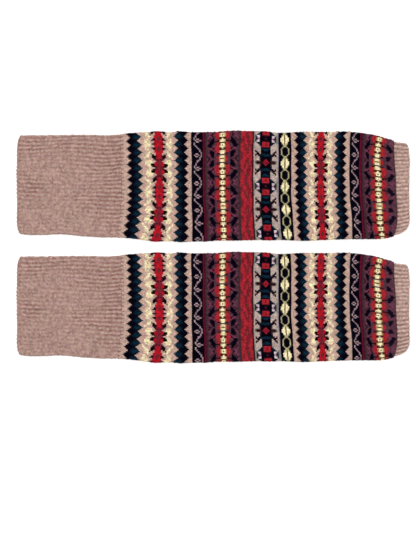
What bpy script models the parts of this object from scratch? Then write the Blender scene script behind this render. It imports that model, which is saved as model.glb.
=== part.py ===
"""Pair of footless over-knee socks in patterned wool, laid flat beside each other.

Each sock is a knitted tube that lies flat: a long ribbed thigh cuff, a patterned leg and a short
ribbed ankle cuff, knitted onto each other. Its two layers lie on one another and join in a soft
fold along each long edge, and both ends are open.

Metres, +Z up. +X runs from the thigh to the ankle, +Y from the near sock to the far one, and the
origin is on the surface, under the middle of the pair.
"""
from collections import namedtuple
import math

import bmesh
import bpy
import numpy as np

MM = 0.001

SOCK_LENGTH = 550.0
SOCK_SPACING = 170.2
LEG_START = 147.0
LEG_END = 529.6
SEAM_GAP = 0.3

THIGH_RIBS = 26
ANKLE_RIBS = 24
RIBS_ON_FOLDS = 2
RIB_CREST = (0.32, 0.68)

LEG_WALL = 2.5
CUFF_WALL = 2.2
RIM_WALL = 1.8
LAYER_GAP = 0.8
MOUTH_GAP = 2.0

THIGH_COLOUR = (172, 138, 128)
LEG_COLOUR = (108, 78, 78)
ANKLE_COLOUR = (179, 148, 136)
WOOL_ROUGHNESS = 0.95
SHARP_ANGLE = math.radians(50)

# A row for each section, in millimetres. along: from the thigh end. above, below: from the centre
# line to the far and the near edge. wall: the cloth. gap: between the layers. rib: height of the
# ribs. lead_above, lead_below: how far the knitted rows run ahead at the two edges. bend: how
# close to the edge they turn, as the power of the distance from the centre line.
Section = namedtuple("Section", "along above below wall gap rib lead_above lead_below bend")

THIGH_SECTIONS = (
    Section(0.0, 71.2, 66.6, RIM_WALL, MOUTH_GAP, 0.35, 5.0, 4.5, 12),
    Section(3.0, 71.6, 67.0, CUFF_WALL, 1.8, 0.50, 4.0, 3.5, 12),
    Section(18.0, 71.8, 68.4, CUFF_WALL, 1.2, 0.50, 0.5, 0.5, 8),
    Section(39.5, 71.8, 68.2, CUFF_WALL, LAYER_GAP, 0.35, 0.0, 0.0, 4),
    Section(60.5, 72.1, 67.2, CUFF_WALL, LAYER_GAP, 0.30, 0.0, 0.0, 4),
    Section(81.5, 72.3, 69.0, CUFF_WALL, LAYER_GAP, 0.35, 0.0, 0.0, 4),
    Section(102.5, 72.4, 70.8, CUFF_WALL, LAYER_GAP, 0.50, 0.0, 0.0, 4),
    Section(123.5, 71.6, 71.6, CUFF_WALL, LAYER_GAP, 0.60, -0.5, 0.0, 4),
    Section(LEG_START - SEAM_GAP, 73.2, 71.9, CUFF_WALL, LAYER_GAP, 0.60, -1.0, 0.3, 4),
)

LEG_SECTIONS = (
    Section(LEG_START, 73.6, 72.2, LEG_WALL, LAYER_GAP, 0.0, -1.0, 0.3, 4),
    Section(158.5, 74.6, 72.9, LEG_WALL, LAYER_GAP, 0.0, -1.0, 0.3, 4),
    Section(172.5, 75.6, 74.4, LEG_WALL, LAYER_GAP, 0.0, -1.0, 0.3, 4),
    Section(186.5, 76.4, 76.2, LEG_WALL, LAYER_GAP, 0.0, -1.0, 0.3, 4),
    Section(200.5, 77.6, 77.9, LEG_WALL, 1.1, 0.0, -1.0, 0.3, 4),
    Section(214.5, 75.8, 76.9, LEG_WALL, LAYER_GAP, 0.0, -1.0, 0.3, 4),
    Section(228.5, 77.4, 78.0, LEG_WALL, 1.0, 0.0, -1.0, 0.4, 4),
    Section(242.5, 76.4, 77.5, LEG_WALL, LAYER_GAP, 0.0, -1.0, 0.5, 4),
    Section(261.0, 76.2, 77.2, LEG_WALL, LAYER_GAP, 0.0, -0.6, 0.8, 4),
    Section(280.5, 76.6, 76.1, LEG_WALL, 0.9, 0.0, 0.4, 1.2, 4),
    Section(298.5, 78.0, 76.3, LEG_WALL, 1.1, 0.0, 1.0, 1.6, 4),
    Section(326.5, 77.8, 75.5, LEG_WALL, 0.9, 0.0, 0.4, 2.0, 4),
    Section(349.0, 77.2, 75.7, LEG_WALL, LAYER_GAP, 0.0, -0.6, 2.6, 4),
    Section(369.0, 75.2, 75.3, LEG_WALL, LAYER_GAP, 0.0, -1.1, 3.6, 4),
    Section(387.0, 76.0, 76.1, LEG_WALL, 1.0, 0.0, -0.8, 3.8, 4),
    Section(405.0, 76.8, 76.4, LEG_WALL, 1.0, 0.0, -0.4, 3.8, 4),
    Section(425.0, 76.4, 75.5, LEG_WALL, LAYER_GAP, 0.0, 0.0, 4.0, 4),
    Section(453.0, 77.2, 74.4, LEG_WALL, 0.9, 0.0, 0.6, 4.2, 4),
    Section(467.0, 76.7, 74.1, LEG_WALL, LAYER_GAP, 0.0, 1.0, 4.2, 4),
    Section(481.0, 75.7, 74.1, LEG_WALL, LAYER_GAP, 0.0, 2.0, 3.2, 4),
    Section(495.0, 73.7, 73.8, LEG_WALL, LAYER_GAP, 0.0, 4.0, 4.0, 4),
    Section(506.0, 70.9, 73.0, LEG_WALL, LAYER_GAP, 0.0, 4.5, 4.0, 4),
    Section(517.0, 68.1, 71.8, LEG_WALL, LAYER_GAP, 0.0, 1.5, 0.5, 4),
    Section(525.0, 66.2, 70.6, LEG_WALL, LAYER_GAP, 0.0, -0.6, -2.0, 4),
    Section(LEG_END, 64.6, 69.4, LEG_WALL, LAYER_GAP, 0.0, -1.0, -3.0, 4),
)

ANKLE_SECTIONS = (
    Section(LEG_END + SEAM_GAP, 62.5, 68.0, CUFF_WALL, LAYER_GAP, 0.45, -0.9, -2.75, 4),
    Section(537.0, 61.6, 66.8, CUFF_WALL, 1.0, 0.55, -2.0, -4.0, 5),
    Section(543.0, 60.6, 65.3, CUFF_WALL, 1.4, 0.55, -3.5, -6.0, 6),
    Section(547.5, 59.6, 64.0, CUFF_WALL, 1.8, 0.50, -5.5, -8.5, 7),
    Section(SOCK_LENGTH, 59.0, 63.2, RIM_WALL, MOUTH_GAP, 0.35, -6.5, -10.0, 7),
)

def eased(sections):
    """The sections with one more between each two, halfway on a smooth curve through four of them."""
    rows = np.array(sections)
    before = rows[[0, *range(len(rows) - 2)]]
    after = rows[[*range(2, len(rows)), -1]]
    halfway = (9 * (rows[:-1] + rows[1:]) - before - after) / 16
    mixed = np.empty((2 * len(rows) - 1, len(Section._fields)))
    mixed[::2] = rows
    mixed[1::2] = halfway
    return [Section(*row) for row in mixed]


# A column of the mesh runs the whole length of a piece. across: its place between the two folds'
# centres, 0 on the near one and 1 on the far one. turn: its angle round them, in degrees, 90 on top
# and 270 underneath. raised: the share of the rib's height that it stands out by.
Column = namedtuple("Column", "across turn raised")

STRAIGHT_STEPS = 14
FOLD_STEPS = 5
LOWER_FOLD_STEPS = 3


def flat_run(turn):
    """Columns over one flat side, from the far fold on top (turn 90) or from the near one below."""
    places = [step / STRAIGHT_STEPS for step in range(STRAIGHT_STEPS)]
    return [Column(1 - place if turn == 90 else place, turn, 0.0) for place in places]


def fold(across, start, steps=FOLD_STEPS):
    """Columns round a quarter of a fold, from the angle start."""
    return [Column(across, start + 90 * step / steps, 0.0) for step in range(steps)]


def underside():
    """Columns below the folds' widest points, with the flat run that the sock lies on."""
    return fold(0, 180, LOWER_FOLD_STEPS) + flat_run(270) + fold(1, 270, LOWER_FOLD_STEPS)


def plain_outside():
    """Columns of a smooth tube, from the far fold's widest point over the top and round below."""
    return fold(1, 0) + flat_run(90) + fold(0, 90) + underside()


def ribbed_outside(ribs):
    """Columns of a tube that is ribbed down to its folds: a rib is a groove and its crest's edges."""
    profile = ((0.0, 0.0), (RIB_CREST[0], 1.0), (RIB_CREST[1], 1.0))
    flat_ribs = ribs - RIBS_ON_FOLDS
    far_fold = [Column(1, 90 * place, raised) for place, raised in profile]
    top = []
    for rib in range(flat_ribs):
        top += [Column(1 - (rib + place) / flat_ribs, 90, raised) for place, raised in profile]
    near_fold = [Column(0, 90 + 90 * place, raised) for place, raised in profile]
    return far_fold + top + near_fold + underside()


def inside():
    """Columns of the plain inner face, round the slit between the two layers."""
    return fold(1, 0, steps=1) + flat_run(90) + fold(0, 90, steps=2) + flat_run(270) + fold(1, 270, steps=1)


def way_round(column):
    """How far round the section a column lies, growing from 0 at the far edge to 6 back there."""
    quarter = column.turn / 90
    return quarter + 1 - column.across if column.turn < 180 else quarter + 1 + column.across


def ring(section, columns, outer):
    """Points of one section: a circle's turn about the folds' centres, stretched flat between them.

    Both folds have half the sock's thickness as their radius on the outside and half the gap on
    the inside, so the wall is even all round and the underside lies flat.
    """
    across, turn, raised = np.array(columns, float).T
    centre = section.wall + section.gap / 2
    radius = centre + section.rib * raised if outer else section.gap / 2
    width_between = section.above + section.below - 2 * centre
    y = -section.below + centre + width_between * across + radius * np.cos(np.radians(turn))
    z = centre + radius * np.sin(np.radians(turn))
    edge = np.clip(np.where(y > 0, y / section.above, y / section.below), -1, 1)
    lead = section.lead_above * np.maximum(edge, 0) ** section.bend
    lead += section.lead_below * np.maximum(-edge, 0) ** section.bend
    x = section.along + lead - SOCK_LENGTH / 2
    return np.stack([x, y, z], axis=1) * MM


def rim_faces(outer_columns, inner_columns, outer_start, inner_start):
    """Faces of an open end, each from one inner edge to the outer points that lie across from it."""
    outer_way = np.array([way_round(column) for column in outer_columns])
    partners = [int(np.abs(outer_way - way_round(column)).argmin()) for column in inner_columns]
    partners.append(partners[0] + len(outer_columns))
    faces = []
    for index, (first, last) in enumerate(zip(partners, partners[1:])):
        outer = [outer_start + place % len(outer_columns) for place in range(first, last + 1)]
        following = (index + 1) % len(inner_columns)
        faces.append(outer + [inner_start + following, inner_start + index])
    return faces


def tube_mesh(name, sections, outer_columns, colour):
    """A flattened tube with an even wall, lofted through its sections and open at both ends."""
    inner_columns = inside()
    outer_points = [ring(section, outer_columns, outer=True) for section in sections]
    inner_points = [ring(section, inner_columns, outer=False) for section in sections]
    points = np.concatenate(outer_points + inner_points)
    faces = []
    inner_base = len(sections) * len(outer_columns)
    for base, count in ((0, len(outer_columns)), (inner_base, len(inner_columns))):
        for row in range(len(sections) - 1):
            here = base + row * count
            for k in range(count):
                following = (k + 1) % count
                faces.append((here + k, here + following, here + count + following, here + count + k))
    for row in (0, len(sections) - 1):
        outer_start = row * len(outer_columns)
        inner_start = inner_base + row * len(inner_columns)
        faces += rim_faces(outer_columns, inner_columns, outer_start, inner_start)
    mesh = bpy.data.meshes.new(name)
    mesh.from_pydata(points.tolist(), [], faces)
    shell = bmesh.new()
    shell.from_mesh(mesh)
    bmesh.ops.recalc_face_normals(shell, faces=shell.faces)
    shell.to_mesh(mesh)
    shell.free()
    mesh.shade_smooth()
    mesh.set_sharp_from_angle(angle=SHARP_ANGLE)
    mesh.materials.append(wool(name, colour))
    return mesh


def wool(name, colour):
    """Dull knitted wool; the colour is given in display values from 0 to 255."""
    material = bpy.data.materials.new(f"{name}_wool")
    material.use_nodes = True
    shader = material.node_tree.nodes["Principled BSDF"]
    shares = [value / 255 for value in colour]
    linear = [share / 12.92 if share <= 0.04045 else ((share + 0.055) / 1.055) ** 2.4 for share in shares]
    shader.inputs["Base Color"].default_value = (*linear, 1.0)
    shader.inputs["Roughness"].default_value = WOOL_ROUGHNESS
    shader.inputs["Metallic"].default_value = 0.0
    return material


def clear_scene():
    """Removes whatever the new file holds."""
    for thing in list(bpy.data.objects):
        bpy.data.objects.remove(thing, do_unlink=True)


def build():
    """Makes the three pieces once, and lays them out as the far and the near sock."""
    clear_scene()
    collection = bpy.data.collections.new("over_knee_sock_pair")
    bpy.context.scene.collection.children.link(collection)
    pieces = {
        "thigh_cuff": tube_mesh("thigh_cuff", THIGH_SECTIONS, ribbed_outside(THIGH_RIBS), THIGH_COLOUR),
        "leg": tube_mesh("leg", eased(LEG_SECTIONS), plain_outside(), LEG_COLOUR),
        "ankle_cuff": tube_mesh("ankle_cuff", ANKLE_SECTIONS, ribbed_outside(ANKLE_RIBS), ANKLE_COLOUR),
    }
    for side, sign in (("far", 1), ("near", -1)):
        sock = bpy.data.objects.new(f"{side}_sock", None)
        sock.location.y = sign * SOCK_SPACING / 2 * MM
        collection.objects.link(sock)
        for name, mesh in pieces.items():
            piece = bpy.data.objects.new(f"{side}_{name}", mesh)
            piece.parent = sock
            collection.objects.link(piece)


build()
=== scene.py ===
import math

import bpy
import numpy as np
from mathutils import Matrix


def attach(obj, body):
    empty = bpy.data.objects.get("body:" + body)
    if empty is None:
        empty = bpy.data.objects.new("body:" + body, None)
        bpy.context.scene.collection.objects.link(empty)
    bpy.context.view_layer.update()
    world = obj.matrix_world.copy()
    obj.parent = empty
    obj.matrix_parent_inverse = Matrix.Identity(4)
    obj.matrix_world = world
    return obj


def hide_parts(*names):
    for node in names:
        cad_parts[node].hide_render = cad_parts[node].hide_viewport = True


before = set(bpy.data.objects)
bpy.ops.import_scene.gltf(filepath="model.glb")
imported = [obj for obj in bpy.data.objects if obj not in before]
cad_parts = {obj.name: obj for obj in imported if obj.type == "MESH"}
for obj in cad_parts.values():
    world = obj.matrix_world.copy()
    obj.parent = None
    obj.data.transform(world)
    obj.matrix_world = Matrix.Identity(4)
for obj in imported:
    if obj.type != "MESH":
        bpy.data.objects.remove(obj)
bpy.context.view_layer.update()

# Surface that the pair lies on
# A matt white board, seen from straight above. It glows a little, so that it stays white in the
# soft light. It isn't part of the socks.
BOARD_REACH = 4.0
BOARD_WHITE = (0.92, 0.92, 0.915, 1)
BOARD_GLOW = (1, 1, 0.99, 1)
BOARD_GLOW_STRENGTH = 0.22
board_corners = [(x * BOARD_REACH, y * BOARD_REACH, 0) for x, y in ((-1, -1), (1, -1), (1, 1), (-1, 1))]
floor_mesh = bpy.data.meshes.new("floor")
floor_mesh.from_pydata(board_corners, [], [(0, 1, 2, 3)])
floor = bpy.data.objects.new("floor", floor_mesh)
bpy.context.scene.collection.objects.link(floor)
board = bpy.data.materials.new("white_board")
board.use_nodes = True
board_shader = board.node_tree.nodes["Principled BSDF"]
board_shader.inputs["Base Color"].default_value = BOARD_WHITE
board_shader.inputs["Roughness"].default_value = 0.9
board_shader.inputs["Specular IOR Level"].default_value = 0.1
board_shader.inputs["Emission Color"].default_value = BOARD_GLOW
board_shader.inputs["Emission Strength"].default_value = BOARD_GLOW_STRENGTH
floor_mesh.materials.append(board)

# Leg of each sock
# A stranded (Fair Isle) tube in fine mottled wool of many colours, knitted in bands between the
# two cuffs. It lies flat: two layers with a soft fold along each long edge. Every stitch is a V.
# Sizes are in mm, and places along a sock are from its thigh end.
MM = 0.001
SOCK_LENGTH = 550.0
SOCK_SPACING = 170.2
STITCHES_ON_TOP = 84
LEG_WALL = 2.5

# Form of the laid tube, in mm. along: from the thigh end. far, near: from the centre line to the
# two edges. gap: between the layers. lead_far, lead_near: how far the courses run ahead at the
# edges. bend: how close to the edge they turn. belly_far, belly_near: how far they bulge between.
LEG_FORM = np.array([
    # along far near gap lead_far lead_near bend belly_far belly_near
    (147.0, 73.6, 72.0, 0.8, -1.3, -6.0, 3, -0.7, -1.2),
    (158.5, 74.6, 72.2, 0.8, -2.5, -8.0, 3, -0.9, -1.6),
    (172.5, 75.6, 73.6, 0.8, -3.2, -7.2, 3, -1.0, -1.4),
    (186.5, 76.4, 75.7, 0.8, -3.2, -6.4, 3, -1.0, -1.0),
    (200.5, 77.6, 77.7, 1.1, -2.4, -5.4, 3.5, -0.8, -0.8),
    (214.5, 75.8, 76.9, 0.8, -2.2, -4.6, 4, -0.7, -0.4),
    (228.5, 77.4, 78.0, 1.0, -1.0, -0.9, 4, -0.3, 0.1),
    (242.5, 76.4, 77.5, 0.8, -0.8, 0.7, 4, 0.0, 0.8),
    (261.0, 76.2, 77.2, 0.8, 0.2, 2.8, 4, 0.4, 2.1),
    (280.5, 76.6, 76.1, 0.9, 0.2, 2.0, 4, 0.0, 1.6),
    (298.5, 78.0, 76.3, 1.1, 1.0, 2.2, 4, 0.0, 0.8),
    (326.5, 77.8, 75.5, 0.9, 0.6, 3.2, 4, -0.1, 0.2),
    (349.0, 77.2, 75.7, 0.8, 0.2, 4.2, 4, -0.1, 0.5),
    (369.0, 75.2, 75.3, 0.8, -0.3, 4.6, 4, -0.2, 1.3),
    (387.0, 76.0, 76.1, 1.0, -0.5, 3.8, 4, 0.0, 2.0),
    (405.0, 76.8, 76.4, 1.0, 0.0, 4.0, 4, -0.1, 2.1),
    (425.0, 76.4, 75.5, 0.8, 0.9, 2.6, 4, -0.2, 1.7),
    (453.0, 77.2, 74.4, 0.9, 1.3, 3.0, 4, 0.1, 3.2),
    (467.0, 76.7, 74.1, 0.8, 1.8, 4.6, 4, 0.4, 3.0),
    (481.0, 75.2, 74.1, 0.8, 2.2, 5.0, 4, 0.0, 2.8),
    (495.0, 72.7, 73.9, 0.8, 3.0, 6.0, 4, -1.9, 1.2),
    (506.0, 70.3, 73.5, 0.8, 3.2, 6.3, 4, -2.4, 1.0),
    (517.0, 67.8, 72.6, 0.8, 0.0, 2.6, 4, -2.5, 1.1),
    (525.0, 66.0, 71.5, 0.8, -2.0, -0.6, 4, -2.3, 1.5),
    (531.6, 64.4, 69.9, 0.8, -2.8, -3.0, 4, -2.0, 2.4),
])

# Yarns, as display values from 0 to 255, each under the letter that the charts use.
YARNS = {
    # heather pinks and greys; D is the heather darkened as painted shade, for the ribs that run out
    # into the leg
    "h": (200, 168, 154), "H": (214, 186, 168), "q": (208, 162, 152), "f": (191, 170, 162),
    "a": (170, 158, 148), "D": (156, 120, 110), "l": (150, 136, 150), "G": (128, 132, 118),
    # creams and lilacs
    "c": (252, 240, 192), "E": (251, 240, 195), "p": (236, 214, 176), "z": (182, 174, 132),
    "e": (222, 204, 212), "w": (172, 146, 152), "P": (150, 112, 124),
    # near blacks, navy and teals
    "n": (4, 2, 15), "N": (20, 11, 27), "k": (14, 3, 8), "d": (38, 14, 28), "t": (8, 26, 40),
    "T": (12, 43, 60),
    # reds and wines
    "r": (184, 24, 38), "J": (174, 40, 50), "s": (169, 39, 50), "B": (158, 44, 38),
    "R": (140, 6, 22), "m": (126, 34, 48), "j": (118, 36, 44), "x": (110, 26, 64),
    "A": (106, 16, 46), "C": (70, 18, 34), "i": (44, 16, 26),
    # mauves
    "V": (120, 60, 84), "F": (94, 58, 71), "v": (88, 51, 66), "g": (65, 45, 49),
    # browns
    "Y": (194, 152, 100), "u": (130, 62, 18), "y": (112, 66, 36), "O": (98, 64, 32),
    "b": (84, 52, 48), "o": (80, 56, 38),
}


def mirrored(half):
    """A course of a symmetrical pattern: its half repeat, then the same back without the two ends."""
    return half + half[-2:0:-1]


# Charts, a string for each course from the thigh towards the ankle, a letter for each stitch.
# The ribs of the thigh cuff run out in the first courses in colour only: the last third of each rib is
# painted in the darker D, as the shade of its sunken purl wale.
THIGH_RIBS = 26
PAINTED_RIB_ENDS = "".join("D" if stitch * THIGH_RIBS % STITCHES_ON_TOP > STITCHES_ON_TOP * 2 // 3 else "h"
                   for stitch in range(STITCHES_ON_TOP))
ZIGZAG = ["hnhhhh", "nnnhhh", "nnnnhn", "nnnnnn", "nnnnnt", "nnnttt", "tnttTt", "tnttTT", "nhttTt",
          "hhhtTn", "hhhhth"]
SPARKS = [mirrored(half) for half in (
    "hhqqhhhhhhhhhhqqhhh",
    "hhqhhhhpphhhhhqhhph",
    "hhhpcphhpphhhhppcpp",
    "hhpccpphhccphhppcpp",
    "hppccpphhpcpphpphpc",
    "ppcccpphhhpccphhppc",
)]
RED_CROSS = [mirrored(half) for half in (
    "HHkkccphhhhkphhhhpc",
    "HdkkphhhdkkhHhhkhhk",
    "HkkkqqhdkkkhhhkkhPk",
    "mdrrrqddkkqqrrddrrd",
    "mmrrmmmmmdrrrrrrrrm",
    "mmmmmmdmrrrrrmmmrrr",
    "ommmmmmrrrrrrommmrr",
)]
RED_CROSS += RED_CROSS[-2::-1]
VINE = ["n" * 21, "n" * 21, "wnnnnnnnwwnnwwnnnnnnn", "bwnnnnPwnnwnnnwnnnnnw", "bwnnPwnnnwbwnnnwnnnnw",
        "wnnnwnnnnwbwnnnnwnnnn", "nnwwnnnnnnwnnnnnnwwnn", "PwnnnnnnnnPnnnnnnnnwP", "n" * 21]
MAUVE = [mirrored(half) for half in (
    "vvdvvvgvvvdvvvgvvvv",
    "ddvVvvvvvdnnvvdvVvv",
    "dvvvdndvVnnnnnvdvVV",
    "vvdnnndvVnnnnnnvvVd",
    "vdnnnndVdvvnnnnnvdd",
    "vdnnnnVddVvvnnnndvv",
)]
# Beside the ankle cuff the same chart is knitted in lighter yarns with less contrast.
FADED_MAUVE = [course.replace("n", "N").replace("v", "F").replace("d", "v") for course in MAUVE]
LOBES = [mirrored(half) for half in (
    "vvvvvvvssvvvvdvvvvs",
    "vvvvvssssssmmdvvsss",
    "ssmvdssssssBBdmssss",
    "ssmvdsssssBBBdkssss",
)]
CREAM = [mirrored(half) for half in (
    "YYYbbYYddYYbbYYddYY",
    "yEEoEEEoyEEEoEEyoEE",
    "uEEyEEEyEEyEyEEEyEy",
)]
CREAM += CREAM[-2::-1]
MOTTLED = [mirrored(half) for half in (
    "JJJJJJmmmJJJJJJjjjm",
    "JJJJmmmmJJJJJJJJmmm",
    "JJJJJJJJJmmmJJJJJJJ",
    "jjmmmJJJJJoommmJJJm",
    "mmmoojmmmJJJJmmmmJJ",
    "mJJmmmjjjjmmmojmmJJ",
    "JJJJJJJmmmmJJJJJJJm",
    "mmJJJJJJJJjjmmmJJJJ",
)]
MEDALLION = [mirrored(half) for half in (
    "GGGGaaaafafaffaafaf",
    "tttffffffnnqnnfffGn",
    "tPetffffffnnnffffgn",
    "Peettffffffnnnfffbn",
    "nnntttffffffgnnggbn",
    "nnnnnnttnnnnttnnnnn",
    "nnissssnTnnkTtnnnnm",
    "kkissssnTTnnTTnnnsR",
    "xkisRRsnTTnktTnnsRx",
)]
MEDALLION += MEDALLION[-2::-1]
CHAIN = [mirrored(half) for half in (
    "nnnnnnnnnn",
    "nnnnnnnnnn",
    "ccnnnnnzzz",
    "cccznnznnn",
    "cccczznnnn",
    "OOOOzznnnn",
)]
CHAIN += CHAIN[-2::-1]

# Bands from the thigh to the ankle: where each starts, in mm from the thigh end, its chart, and
# the stitch, counted over the top from the far fold, at which its repeat starts.
BANDS = (
    (147.0, [PAINTED_RIB_ENDS] * 2 + ["h"] * 2, 0),
    (154.7, ZIGZAG, 0),
    (177.3, SPARKS, 28),
    (188.4, RED_CROSS, 28),
    (211.8, SPARKS[::-1], 28),
    (220.9, ZIGZAG[::-1], 0),
    (240.7, ["h"] * 2, 0),
    (244.6, VINE, 18),
    (260.6, ["A", "C"], 0),
    (264.0, ["g"], 0),
    (266.3, MAUVE, 21),
    (276.8, LOBES, 21),
    (283.8, CREAM, 21),
    (292.4, LOBES[::-1], 21),
    (299.2, MAUVE[::-1], 21),
    (310.5, ["g"], 0),
    (313.6, MOTTLED, 1),
    (329.7, ["i"], 0),
    (331.9, MEDALLION, 42),
    (365.8, ["l"], 0),
    (366.9, CHAIN, 42),
    (384.8, ["h"] * 3, 0),
    (388.8, ZIGZAG, 0),
    (407.0, SPARKS, 28),
    (415.9, RED_CROSS, 28),
    (435.7, SPARKS[::-1], 28),
    (444.4, ZIGZAG[::-1], 0),
    (461.9, ["h"] * 2, 0),
    (465.9, VINE, 18),
    (480.2, ["A", "C"], 0),
    (484.1, ["g"], 0),
    (486.7, MAUVE, 21),
    (495.3, LOBES, 21),
    (502.3, CREAM, 21),
    (512.0, LOBES[::-1], 21),
    (520.2, FADED_MAUVE[::-1], 21),
)
LEG_END = 531.6


def eased(rows):
    """The rows with one more between each two, halfway on a smooth curve through four of them."""
    before = rows[[0, *range(len(rows) - 2)]]
    after = rows[[*range(2, len(rows)), -1]]
    mixed = np.empty((2 * len(rows) - 1, rows.shape[1]))
    mixed[::2] = rows
    mixed[1::2] = (9 * (rows[:-1] + rows[1:]) - before - after) / 16
    return mixed


# One over the greatest value of the distance squared times what is left, two thirds of the way
# out, so that a belly of 1 mm is 1 mm there.
BELLY_SHARE = 27 / 4


def laid_tube(form, wall, along, way, lift, middle=0.0, inner=False):
    """Points of a tube that lies flat, in metres, for arrays of places along and round it.

    way runs from 0 at the far edge over the top to 1 at the near edge, and on underneath to 2.
    The section is a circle of half the thickness, pulled apart at its middle to the full width,
    and way grows with the distance along it. lift is added to the circle's radius. x is along
    plus the lead, which grows from the middle to the edge as a power of the distance, and the
    belly, which is greatest two thirds of the way out: the distance squared times what is left.
    """
    columns = [np.interp(along, form[:, 0], form[:, k]) for k in range(1, form.shape[1])]
    far, near, gap, lead_far, lead_near, bend, belly_far, belly_near = columns
    half = wall + gap / 2
    straight = far + near - 2 * half
    over = np.minimum(way, 2 - way) * (straight + math.pi * half)
    far_turn = np.clip(over / half, 0, math.pi / 2)
    flat = np.clip(over - math.pi / 2 * half, 0, straight)
    near_turn = np.clip((over - straight) / half - math.pi / 2, 0, math.pi / 2)
    turn = far_turn + near_turn
    radius = gap / 2 if inner else half + lift
    y = far - half - flat + radius * np.cos(turn)
    z = half + np.where(way > 1, -1, 1) * radius * np.sin(turn)
    out_far = np.clip(y / far, 0, 1)
    out_near = np.clip(-y / near, 0, 1)
    lead = lead_far * out_far ** bend + lead_near * out_near ** bend
    belly = belly_far * out_far ** 2 * (1 - out_far) + belly_near * out_near ** 2 * (1 - out_near)
    x = along + (lead + BELLY_SHARE * belly) - SOCK_LENGTH / 2
    return np.stack([x, y + middle, z], axis=-1) * MM


def soft_hills(hills, along, across):
    """Height of a few soft ridges and troughs: each is a bell over an ellipse, and they add up."""
    height = np.zeros(np.broadcast(along, across).shape)
    for place, side, length, width, rise in hills:
        height += rise * np.exp(-((along - place) / length) ** 2 - ((across - side) / width) ** 2)
    return height


UNDERSIDE_SINK = 0.4
FOLD_STEEPNESS = 40


def pressed_in(way):
    """Depth in mm by which the lower layer is pressed flat: a short ramp from each fold, then even."""
    ramp = np.clip(np.minimum(way - 1, 2 - way) * FOLD_STEEPNESS, 0, 1)
    return UNDERSIDE_SINK * np.where(way > 1, ramp, 0)


def to_linear(display):
    """Linear light of display values from 0 to 255, by the sRGB curve."""
    share = np.asarray(display, float) / 255
    return np.where(share <= 0.04045, share / 12.92, ((share + 0.055) / 1.055) ** 2.4)


def ring_mesh(name, points, colours, shade, strand, material):
    """A closed shell from a grid whose rows and columns both run round to their start.

    Each face takes one colour, times the painted shade of the vertex at each corner: a share of its
    red, green and blue. strand holds for each vertex its place across and along the stitches, and 1
    where their V is left to the material's bump, as on the lower layer of the leg.
    """
    rows, columns = points.shape[:2]
    number = np.arange(rows * columns).reshape(rows, columns)
    corners = np.stack([number, np.roll(number, -1, 1), np.roll(number, (-1, -1), (0, 1)),
                        np.roll(number, -1, 0)], axis=-1)
    faces = corners.reshape(-1, 4)
    mesh = bpy.data.meshes.new(name)
    mesh.vertices.add(rows * columns)
    mesh.vertices.foreach_set("co", points.reshape(-1).astype(np.float32))
    mesh.loops.add(faces.size)
    mesh.loops.foreach_set("vertex_index", faces.reshape(-1).astype(np.int32))
    mesh.polygons.add(len(faces))
    mesh.polygons.foreach_set("loop_start", np.arange(0, faces.size, 4, dtype=np.int32))
    mesh.polygons.foreach_set("use_smooth", np.ones(len(faces), dtype=bool))
    mesh.update(calc_edges=True)
    # The yarn attribute is the yarn's colour with the painted shade of each corner multiplied in:
    # darker grooves, rims, joins and inside.
    corner_yarn_and_shade = np.ones((faces.size, 4), np.float32)
    corner_yarn_and_shade[:, :3] = (colours.reshape(-1, 1, 3) * shade.reshape(-1, 3)[faces]).reshape(-1, 3)
    yarn = mesh.color_attributes.new("yarn", "FLOAT_COLOR", "CORNER")
    yarn.data.foreach_set("color", corner_yarn_and_shade.reshape(-1))
    strands = mesh.attributes.new("strand", "FLOAT_VECTOR", "POINT")
    strands.data.foreach_set("vector", strand.reshape(-1).astype(np.float32))
    mesh.materials.append(material)
    mesh.validate()
    piece = bpy.data.objects.new(name, mesh)
    bpy.context.scene.collection.objects.link(piece)
    return piece


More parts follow.
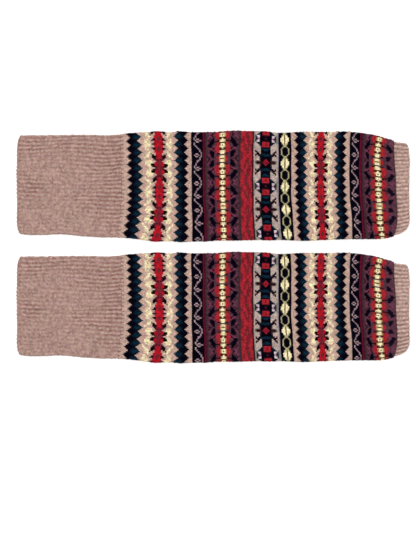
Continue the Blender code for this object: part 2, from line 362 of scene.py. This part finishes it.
def wool(name, fuzz, grain, mottle, blend, rosy):
    """Matt mottled wool: the yarn's own colour, flecked by two noises, with twisted plies as bump.

    fuzz is the height of the fibres, grain the flecks in a metre, mottle how much a fleck is
    lighter or darker than the yarn, and blend how far its dyed fibres differ in hue. rosy is the
    share of its red that a dark fleck keeps. The bump is a pillow over each leg of the V, the
    lower of two ramps that fold back at its middle and at the course's, and a wave for the plies.
    """
    material = bpy.data.materials.new(name)
    material.use_nodes = True
    nodes, links = material.node_tree.nodes, material.node_tree.links
    shader = nodes["Principled BSDF"]
    shader.inputs["Roughness"].default_value = 0.95
    shader.inputs["Specular IOR Level"].default_value = 0.04
    place = nodes.new("ShaderNodeTexCoord")

    def wired(node, values):
        """The first output of a node whose inputs, in their order, are linked or set to values."""
        for socket, value in zip(node.inputs, values):
            if isinstance(value, bpy.types.NodeSocket):
                links.new(value, socket)
            else:
                socket.default_value = value
        return node.outputs[0]

    def number_node(operation, *values):
        """The result of a Math node on sockets or numbers."""
        node = nodes.new("ShaderNodeMath")
        node.operation = operation
        return wired(node, values)

    def vector_node(operation, *values):
        """The result of a Vector Math node on sockets or vectors."""
        node = nodes.new("ShaderNodeVectorMath")
        node.operation = operation
        return wired(node, values)

    def noise_node(scale, detail, roughness):
        """A Noise node on Object coordinates, so that no two stitches are flecked alike."""
        node = nodes.new("ShaderNodeTexNoise")
        node.inputs["Scale"].default_value = scale
        node.inputs["Detail"].default_value = detail
        node.inputs["Roughness"].default_value = roughness
        links.new(place.outputs["Object"], node.inputs["Vector"])
        return node

    def lightness(noise, change):
        """The middle of a noise, from 0.3 to 0.7, spread over 1 less and 1 plus the change."""
        node = nodes.new("ShaderNodeMapRange")
        node.inputs["From Min"].default_value = 0.3
        node.inputs["From Max"].default_value = 0.7
        node.inputs["To Min"].default_value = 1 - change
        node.inputs["To Max"].default_value = 1 + change
        links.new(noise.outputs["Fac"], node.inputs["Value"])
        return node.outputs["Result"]

    # The yarn attribute is the yarn's colour with the painted shade of the stitches already multiplied
    # in.
    yarn = nodes.new("ShaderNodeAttribute")
    yarn.attribute_name = "yarn"
    fleck = noise_node(scale=grain, detail=3, roughness=0.7)
    fibre = noise_node(scale=2600, detail=2, roughness=0.5)
    flecked = number_node("MULTIPLY", lightness(fleck, mottle), lightness(fibre, 0.15))
    dyed = vector_node("MULTIPLY_ADD", fleck.outputs["Color"], (blend,) * 3, (1 - blend / 2,) * 3)
    blended = vector_node("MULTIPLY", yarn.outputs["Color"], dyed)
    toned = vector_node("MULTIPLY_ADD", flecked, (1 - rosy, 1, 1), (rosy, 0, 0))
    tinted = vector_node("MULTIPLY", blended, toned)
    links.new(tinted, shader.inputs["Base Color"])

    strand = nodes.new("ShaderNodeAttribute")
    strand.attribute_name = "strand"
    parts = nodes.new("ShaderNodeSeparateXYZ")
    links.new(strand.outputs["Vector"], parts.inputs["Vector"])
    side = number_node("PINGPONG", parts.outputs["X"], 0.5)
    leg_ramp = number_node("MULTIPLY", number_node("PINGPONG", side, 0.25), 4)
    lean = number_node("MULTIPLY", number_node("MULTIPLY", side, parts.outputs["Z"]), 1.2)
    course = number_node("ADD", parts.outputs["Y"], lean)
    course_ramp = number_node("MULTIPLY", number_node("PINGPONG", course, 0.5), 3)
    pillow = number_node("MINIMUM", leg_ramp, course_ramp)
    plied = nodes.new("ShaderNodeCombineXYZ")
    links.new(side, plied.inputs["X"])
    links.new(course, plied.inputs["Y"])
    ply = nodes.new("ShaderNodeTexWave")
    ply.bands_direction = "DIAGONAL"
    ply.inputs["Scale"].default_value = 1.1
    ply.inputs["Distortion"].default_value = 1.2
    links.new(plied.outputs["Vector"], ply.inputs["Vector"])
    twisted = number_node("MULTIPLY_ADD", ply.outputs["Fac"], 0.3, pillow)
    raised = number_node("MULTIPLY_ADD", fibre.outputs["Fac"], fuzz, twisted)
    bump = nodes.new("ShaderNodeBump")
    bump.inputs["Strength"].default_value = 0.35
    bump.inputs["Distance"].default_value = 0.0003
    links.new(raised, bump.inputs["Height"])
    links.new(bump.outputs["Normal"], shader.inputs["Normal"])
    return material


# A V stitch seen from above, in columns over its width: place in the stitch, height of the yarn
# in mm and share of light that gets there. The two legs of the V are the two crests.
TOP_STITCH = np.array([(0.0, -0.32, 0.7), (0.25, 0.12, 1.0), (0.5, -0.2, 0.85), (0.75, 0.12, 1.0)])
LOWER_STITCH = np.array([(0.0, 0.0, 0.9)])
# The same along the stitch, for its two rows. Rows nearer to a join of leg and cuff than
# PLAIN_REACH of a course have no such height, and in the leg an even light.
COURSE_ROWS = np.array([(-0.14, 0.88), (0.08, 1.0)])
ROWS_A_COURSE = len(COURSE_ROWS)
PLAIN_REACH = 0.6
PLAIN_LIGHT = 0.93
# Light on the inside of the tube, and the rows of its mesh.
INSIDE_LIGHT = 0.8
INNER_ROWS = 6
# How far a leg of the V leans along the sock, as a share of the course's height.
SLANT = 0.6
# Spread of the stitches' heights in mm, all over and on top of that in the folds, and spread of
# their lightness, as a share.
CLOTH_KNOBS, FOLD_KNOBS = 0.05, 0.22
YARN_SPREAD = 0.12
LEG_SEED = 40
# Where the round begins and ends, in the middle of the underside.
SEAM_STITCH = 126
# Soft creases of the laid cloth: along, across, reach both ways and height, in mm. Across is
# counted from the centre line towards the far edge, over half the leg's width.
LEG_HALF_WIDTH = 76
LEG_HILLS = (
    (170, 20, 26, 60, 0.25), (205, -40, 22, 30, 0.3), (232, 30, 18, 50, -0.2),
    (262, -10, 14, 70, 0.2), (300, 48, 24, 26, 0.3), (318, -30, 20, 40, -0.25),
    (352, 10, 22, 60, 0.25), (392, -45, 18, 26, 0.3), (402, 40, 20, 30, 0.25),
    (440, 0, 22, 60, -0.2), (462, 46, 18, 24, 0.25), (498, -20, 16, 50, 0.3),
)
# Sway of the stitches, as a share of one, and a slight pull of the cloth towards the far edge: how
# far at most, where that is, and its reach, as shares of the width.
SWAY = 0.1
PULL, PULL_PLACE, PULL_REACH = 0.01, 0.78, 0.12

leg_form = eased(eased(LEG_FORM))
letters = sorted(YARNS)
yarn_table = to_linear([YARNS[letter] for letter in letters])
chart_stitch = np.arange(2 * STITCHES_ON_TOP)
chart_stitch = np.where(chart_stitch < SEAM_STITCH, chart_stitch, chart_stitch - 2 * STITCHES_ON_TOP)
course_starts, chart = [], []
for (start, courses, first), end in zip(BANDS, [band[0] for band in BANDS[1:]] + [LEG_END]):
    height = (end - start) / len(courses)
    for place, course in enumerate(courses):
        codes = np.array([letters.index(letter) for letter in course])
        course_starts.append(start + place * height)
        chart.append(codes[(chart_stitch - first) % len(course)])
course_starts = np.array(course_starts + [LEG_END])
chart = np.array(chart)


def stitch_columns():
    """Columns round the tube: way, place in its stitch, height, light and stitch number of each."""
    columns = [(stitch + place, place, rise, light, stitch)
               for stitch in range(2 * STITCHES_ON_TOP)
               for place, rise, light in (TOP_STITCH if stitch < STITCHES_ON_TOP else LOWER_STITCH)]
    numbers, place, rise, light, stitch = np.array(columns).T
    return numbers / STITCHES_ON_TOP, place, rise, light, stitch.astype(int)


def knit_leg(name, first, last, middle, material):
    """Stitches of the leg from one course to another, as a closed shell with a plain inside.

    Rows run along the tube, two to a course, and each row line is bent into a chevron in every
    stitch, by the slant times the course's height. The rows wander along the tube by slow sine
    waves, and the stitches sway round it by others, but not at the far fold. Heights are added
    from the two profiles, from the soft hills, and unevenly from stitch to stitch, most of all in
    the folds. A face takes its yarn's colour times the lightness that is drawn for its stitch.
    """
    random = np.random.default_rng(LEG_SEED + first)
    way, place, rise, light, stitch = stitch_columns()
    row = np.arange(first * ROWS_A_COURSE, last * ROWS_A_COURSE + 1)
    course = row / ROWS_A_COURSE
    along = np.interp(course, np.arange(len(course_starts)), course_starts)[:, None]
    tall = np.gradient(course_starts)[np.minimum(row // ROWS_A_COURSE, len(chart) - 1)][:, None]
    ramp = np.minimum(np.minimum(course, len(chart) - course), 1)[:, None]
    chevron = SLANT * tall * (2 * np.abs(place - 0.5) - 0.5) * ramp
    wander = 0.25 * np.sin(way * 23 + along / 17) + 0.2 * np.sin(way * 9 - along / 29)
    shape = (len(row), len(way))
    along_all = np.broadcast_to(along, shape) + chevron + wander * ramp
    joined = (ramp > PLAIN_REACH).astype(float)
    course_rise = COURSE_ROWS[row % ROWS_A_COURSE, 0][:, None] * joined
    course_light = COURSE_ROWS[row % ROWS_A_COURSE, 1][:, None] * joined + PLAIN_LIGHT * (1 - joined)
    from_fold = np.minimum(way, np.abs(1 - way)) * STITCHES_ON_TOP
    knobs = CLOTH_KNOBS + FOLD_KNOBS * np.exp(-(from_fold ** 2))
    uneven = random.normal(0, 1, (len(chart) + 1, 2 * STITCHES_ON_TOP))
    uneven = uneven[np.minimum(row // ROWS_A_COURSE, len(chart))][:, stitch] * knobs
    across = LEG_HALF_WIDTH - 2 * LEG_HALF_WIDTH * np.minimum(way, 2 - way)
    creases = np.where(way <= 1, 1, 0) * soft_hills(LEG_HILLS, along_all, across)
    lift = rise + course_rise + uneven + creases - pressed_in(way)
    sway = SWAY / STITCHES_ON_TOP * np.sin(along_all / 6.5 + way * 40)
    sway = sway - PULL * np.exp(-((way - PULL_PLACE) / PULL_REACH) ** 2)
    ways = np.clip(way + sway * np.where((way > 0.02) & (way < 1.98), 1, 0), 0, 2)
    outer = laid_tube(leg_form, LEG_WALL, along_all, ways, lift, middle)
    inner_along = np.linspace(along_all[-1].mean(), along_all[0].mean(), INNER_ROWS)[:, None]
    inner_along = np.broadcast_to(inner_along, (INNER_ROWS, len(way)))
    inner_way = np.broadcast_to(way, inner_along.shape)
    inner = laid_tube(leg_form, LEG_WALL, inner_along, inner_way, 0, middle, True)
    points = np.concatenate([outer, inner])
    inner_course = np.interp(inner_along[:, 0], course_starts, np.arange(len(course_starts)))
    face_course = np.concatenate([row[:-1] // ROWS_A_COURSE, [last - 1],
                                  inner_course[:-1].astype(int), [first]])
    face_course = np.clip(face_course, first, last - 1)
    tint = random.normal(1, YARN_SPREAD, chart.shape)
    colours = yarn_table[chart[face_course][:, stitch]] * tint[face_course][:, stitch][..., None]
    # Painted shade of the stitches: the V's valleys and the course grooves darker, and the inside
    # darker still.
    shade = np.concatenate([light * course_light, np.full(inner.shape[:2], INSIDE_LIGHT)])
    strand = np.zeros(points.shape)
    strand[..., 0] = np.minimum(way, 2 - way) * STITCHES_ON_TOP
    strand[..., 1] = np.concatenate([course, inner_course])[:, None]
    strand[..., 2] = np.where(way > 1, 1, 0)
    return ring_mesh(name, points, colours, shade[..., None].repeat(3, 2), strand, material)


leg_wool = wool("leg_wool", fuzz=0.45, grain=420, mottle=0.27, blend=0.35, rosy=0.0)
# Each leg is two pieces, so that neither mesh is too large. They part inside the medallions.
PARTING_COURSE = 107
LEG_HALVES = (("thigh_half", 0, PARTING_COURSE), ("ankle_half", PARTING_COURSE, len(chart)))
for sock, side in (("far", 1), ("near", -1)):
    for half_name, first, last in LEG_HALVES:
        piece = knit_leg(f"{sock}_leg_{half_name}", first, last, side * SOCK_SPACING / 2, leg_wool)
        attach(piece, "root")
        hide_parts(f"{sock}_leg")

# Thigh cuff of each sock
# A plain tube in the mottled heather yarn, in two-by-one rib: two raised knit wales, then a
# sunken purl one, 26 ribs over the top. It is knitted onto the leg and its other end is open.
CUFF_WALL = 2.2
THIGH_FORM = np.array([
    # along far near gap lead_far lead_near bend belly_far belly_near
    (0.0, 71.2, 66.6, 2.0, 5.0, 4.5, 12, 0.0, 0.0),
    (3.0, 71.6, 67.0, 1.8, 4.0, 3.5, 12, 0.0, 0.0),
    (18.0, 71.8, 68.4, 1.2, 0.5, 0.5, 8, 0.0, 0.0),
    (39.5, 71.8, 68.2, 0.8, 0.0, 0.0, 4, 0.0, 0.0),
    (60.5, 72.1, 67.2, 0.8, 0.0, 0.0, 4, 0.0, 0.0),
    (81.5, 72.3, 69.0, 0.8, 0.0, 0.0, 4, 0.0, 0.0),
    (102.5, 72.4, 70.8, 0.8, 0.0, -0.5, 4, 0.0, 0.0),
    (123.5, 71.6, 71.6, 0.8, -0.5, -2.5, 3.5, -0.3, -0.4),
    (135.0, 72.2, 71.6, 0.8, -1.0, -4.5, 3, -0.5, -0.8),
    (147.0, 73.2, 71.7, 0.8, -1.3, -6.0, 3, -0.7, -1.2),
])
# One rib, in columns: place over its width, height in mm, light, and how far that place follows
# the V of its stitches. SECOND_WALE and PURL_WALE are the places where those two wales begin.
SECOND_WALE, PURL_WALE = 0.34, 0.68
TOP_RIB = np.array([
    (0.0, -0.5, 0.56, 0.6),
    (0.085, 0.12, 0.86, 0.0),
    (0.17, 0.2, 1.0, -0.6),
    (0.255, 0.45, 1.1, 0.0),
    (0.34, 0.35, 1.04, 0.6),
    (0.425, 0.45, 1.1, 0.0),
    (0.51, 0.2, 1.0, -0.6),
    (0.595, 0.12, 0.86, 0.0),
    (0.68, -0.5, 0.56, 0.6),
    (0.84, -0.6, 0.58, 0.0),
])
LOWER_RIB = np.array([
    (0.0, -0.4, 0.66, 0.0),
    (0.17, 0.1, 1.0, 0.6),
    (0.51, 0.1, 1.0, 0.6),
    (0.68, -0.4, 0.66, 0.0),
])
CUFF_INNER_ROWS = 5
CUFF_INSIDE_LIGHT = 0.75
# Share of the height and shade of the leg's rows that shows in this softer rib.
SOFT_ROWS = 0.45
# Height in mm of the scallops in which the ribs end, and the courses over which they and the
# shade of the rim fade, and over which the shade of the join to the leg does.
SCALLOP = 0.45
RIM_REACH = 0.8
JOIN_REACH = 1.5
# Spread of the stitches' heights in mm, all over and on top of that in the folds, and spread of
# their lightness and of each of its red, green and blue, as shares.
CUFF_KNOBS, CUFF_FOLD_KNOBS = 0.07, 0.2
HEATHER_SPREAD, HUE_SPREAD = 0.05, 0.01
# Where the ribs stand out: along, across, reach of the patch both ways, and share of full depth,
# which is below nothing where they lie flatter. Then the soft creases, as in the leg.
THIGH_DEPTH = (
    (138, 0, 22, 200, 0.85), (18, 56, 26, 17, 0.7), (62, 60, 34, 13, 0.5),
    (100, 52, 30, 26, 0.45), (20, -4, 17, 16, 0.95), (92, 27, 16, 12, 0.4),
    (106, -22, 16, 18, 0.45), (88, -18, 17, 12, 0.45), (132, -68, 26, 13, -0.75),
    (130, 70, 24, 10, -0.35),
)
THIGH_HILLS = (
    (30, 20, 30, 30, 0.2), (70, -10, 30, 30, 0.35), (100, 10, 25, 40, -0.1), (60, 50, 40, 14, 0.1),
)


def knit_cuff(name, form, middle, material, ribs, courses, open_end, heather, warmth, rim_shade,
              join_shade, depth_patches, shallow, ragged, hills, seed):
    """Ribbed tube as a closed shell: a chevron grid as in the leg, over a rib profile.

    The height of the profile is times the depth, which is shallow plus the bells of its patches,
    and differs from stitch to stitch by the ragged share. Where the depth is nothing, a raised
    wale keeps 0.45 of its height and a dark place 0.15 of its painted shade. The rows wander and
    the ribs sway by slow sine waves, and the ribs end in scallops, a cosine over each rib. heather
    is the yarn's display colour, times the shade painted at each vertex. Its red is shaded by a
    lower power than its green, by the warmth, and its blue by a slightly higher one. rim_shade and
    join_shade are how much darker the rim and the join to the leg are painted, as their shade.
    """
    random = np.random.default_rng(seed)
    columns = [(rib + place, place, rise, light, follow, rib) for rib in range(2 * ribs)
               for place, rise, light, follow in (TOP_RIB if rib < ribs else LOWER_RIB)]
    number, place, rise, light, follow, rib = np.array(columns).T
    way, rib = number / ribs, rib.astype(int)
    row = np.arange(courses * ROWS_A_COURSE + 1)
    row_course = row // ROWS_A_COURSE
    course = row / ROWS_A_COURSE
    tall = (form[-1, 0] - form[0, 0]) / courses
    along = (form[0, 0] + course * tall)[:, None]
    from_leg = courses - course if open_end == "start" else course
    ramp = np.minimum(from_leg, 1)[:, None]
    shape = (len(row), len(way))
    wander = 0.5 * np.sin(way * 11 + along / 31) + 0.25 * np.sin(way * 29 - along / 13)
    along_all = np.broadcast_to(along, shape) + SLANT * tall * follow * 0.5 * ramp + wander * ramp
    rim = np.exp(-(courses - from_leg[:, None]) / RIM_REACH)
    outward = -1 if open_end == "start" else 1
    along_all = along_all + outward * SCALLOP * rim * np.cos(2 * math.pi * (place - SECOND_WALE))
    width = form[:, 1].mean()
    across = width - 2 * width * np.minimum(way, 2 - way)
    broken = random.uniform(1 - ragged, 1 + 0.7 * ragged, (courses + 2, 2 * ribs))
    broken = (broken[:-1] + broken[1:])[row_course][:, rib] / 2
    depth = np.clip((shallow + soft_hills(depth_patches, along_all, across)) * broken, 0, 1)
    from_fold = np.minimum(way, np.abs(1 - way)) * ribs
    knobs = CUFF_KNOBS + CUFF_FOLD_KNOBS * np.exp(-((from_fold / 0.5) ** 2))
    uneven = random.normal(0, 1, (courses + 1, 2 * ribs))[row_course][:, rib] * knobs
    soft_rows = SOFT_ROWS * (ramp > PLAIN_REACH)
    course_rise = COURSE_ROWS[row % ROWS_A_COURSE, 0][:, None] * soft_rows
    course_light = 1 - (1 - COURSE_ROWS[row % ROWS_A_COURSE, 1][:, None]) * soft_rows
    # Painted shadow along the rim and next to the leg.
    join_light = (1 - join_shade * np.exp(-from_leg / JOIN_REACH))[:, None]
    course_light = course_light * (1 - rim_shade * rim) * join_light
    raised = np.where(rise > 0, rise * (0.45 + 0.55 * depth), rise * depth)
    creases = np.where(way <= 1, 1, 0) * soft_hills(hills, along_all, across)
    lift = raised + course_rise + uneven + creases - pressed_in(way)
    sway = 0.22 * np.sin(along_all / 21 + way * 9) + 0.05 * np.sin(along_all / 2.9 + way * 37)
    sway = sway / ribs * np.where((way > 0.03) & (way < 0.97), 1, 0)
    outer = laid_tube(form, CUFF_WALL, along_all, way + sway, lift, middle)
    inner_along = np.linspace(form[-1, 0], form[0, 0], CUFF_INNER_ROWS)[:, None]
    inner_along = np.broadcast_to(inner_along, (CUFF_INNER_ROWS, len(way)))
    inner_way = np.broadcast_to(way, inner_along.shape)
    inner = laid_tube(form, CUFF_WALL, inner_along, inner_way, 0, middle, True)
    points = np.concatenate([outer, inner])
    half_inside = (CUFF_INNER_ROWS + 1) // 2
    face_course = np.concatenate([row_course[:-1], [courses - 1] * half_inside, [0] * half_inside])
    tint = random.normal(1, HEATHER_SPREAD, (courses, 2 * ribs, 1))
    tint = tint + random.normal(0, HUE_SPREAD, (courses, 2 * ribs, 3))
    colours = to_linear(heather) * tint[face_course][:, rib]
    # Painted shade and light of the rib: darker in its grooves and lighter on its raised wales, most
    # where the ribs stand out.
    sunk = (1 + 0.06 * depth) * (1 - (1 - light) * (0.15 + 0.85 * depth))
    shade = np.concatenate([sunk * course_light, np.full(inner.shape[:2], CUFF_INSIDE_LIGHT)])
    shade = shade[..., None] ** np.array([1 - warmth, 1, 1 + warmth / 4])
    strand = np.zeros(points.shape)
    ribs_in = np.minimum(way, 2 - way) * ribs
    strand[..., 0] = np.interp(ribs_in % 1, (0, SECOND_WALE, PURL_WALE, 1), (0, 1, 2, 3))
    strand[..., 0] += 3 * np.floor(ribs_in)
    strand[..., 1] = np.concatenate([course, np.linspace(courses, 0, CUFF_INNER_ROWS)])[:, None]
    return ring_mesh(name, points, colours, shade, strand, material)


heather_wool = wool("heather_wool", fuzz=0.7, grain=290, mottle=0.42, blend=0.45, rosy=0.3)
THIGH_KNIT = dict(
    ribs=THIGH_RIBS, courses=60, open_end="start", heather=(164, 135, 126), warmth=0.4,
    rim_shade=0.22, join_shade=0.0, depth_patches=THIGH_DEPTH, shallow=0.08, ragged=0.55,
    hills=THIGH_HILLS, seed=7,
)
thigh_form = eased(eased(THIGH_FORM))
for sock, side in (("far", 1), ("near", -1)):
    piece = knit_cuff(f"{sock}_thigh_cuff_rib", thigh_form, side * SOCK_SPACING / 2, heather_wool,
                      **THIGH_KNIT)
    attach(piece, "root")
    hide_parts(f"{sock}_thigh_cuff")

# Ankle cuff of each sock
# A short plain tube in the same yarn and the same two-by-one rib, 24 ribs over the top. It is
# knitted onto the leg, draws the ankle in, and its end is open.
ANKLE_FORM = np.array([
    # along far near gap lead_far lead_near bend belly_far belly_near
    (531.6, 62.7, 68.8, 0.8, -2.6, -2.8, 4, -2.0, 2.4),
    (537.5, 61.8, 67.6, 1.0, -2.4, -3.2, 6, -1.3, 1.6),
    (543.0, 61.2, 66.2, 1.4, -2.8, -4.6, 9, -0.6, 0.8),
    (547.5, 60.6, 64.8, 1.8, -3.4, -6.4, 12, -0.2, 0.3),
    (550.0, 60.0, 63.8, 2.0, -4.0, -7.4, 13, 0.0, 0.0),
])
ANKLE_DEPTH = ((540, -40, 40, 40, 0.5), (540, 52, 40, 18, 0.4))
ANKLE_KNIT = dict(
    ribs=24, courses=10, open_end="end", heather=(183, 154, 144), warmth=0.15, rim_shade=0.1,
    join_shade=0.25, depth_patches=ANKLE_DEPTH, shallow=0.5, ragged=0.15, hills=(), seed=8,
)
ankle_form = eased(eased(ANKLE_FORM))
for sock, side in (("far", 1), ("near", -1)):
    piece = knit_cuff(f"{sock}_ankle_cuff_rib", ankle_form, side * SOCK_SPACING / 2, heather_wool,
                      **ANKLE_KNIT)
    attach(piece, "root")
    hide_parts(f"{sock}_ankle_cuff")

# Camera and studio light
# A camera straight above, a large soft box overhead, a second one from the upper left that
# brings out the ribs, and a white room.
CAMERA_PLACE = (-0.00715, -0.0436, 1.847)
SOFT_BOXES = (
    # name, place and size in metres, power in watts
    ("soft_box", (0.0, 0.1, 2.2), 2.0, 22),
    ("side_box", (-1.1, 1.6, 0.9), 0.8, 9),
)
LIT_PLACE = (0.0, -0.04, 0.0)
ROOM_STRENGTH = 0.75
camera_data = bpy.data.cameras.new("camera")
camera_data.lens = 85
camera_data.sensor_width = 36
camera = bpy.data.objects.new("camera", camera_data)
camera.location = CAMERA_PLACE
bpy.context.scene.collection.objects.link(camera)
bpy.context.scene.camera = camera
for box_name, place, size, power in SOFT_BOXES:
    box_data = bpy.data.lights.new(box_name, "AREA")
    box_data.size = size
    box_data.energy = power
    box = bpy.data.objects.new(box_name, box_data)
    box.location = place
    back = np.array(place) - np.array(LIT_PLACE)
    tilt = math.atan2(math.hypot(back[0], back[1]), back[2])
    box.rotation_euler = (tilt, 0, math.atan2(back[1], back[0]) + math.pi / 2)
    bpy.context.scene.collection.objects.link(box)
world = bpy.data.worlds.new("white_room")
world.use_nodes = True
room = world.node_tree.nodes["Background"]
room.inputs["Color"].default_value = (1, 1, 1, 1)
room.inputs["Strength"].default_value = ROOM_STRENGTH
bpy.context.scene.world = world
bpy.context.scene.view_settings.view_transform = "Standard"
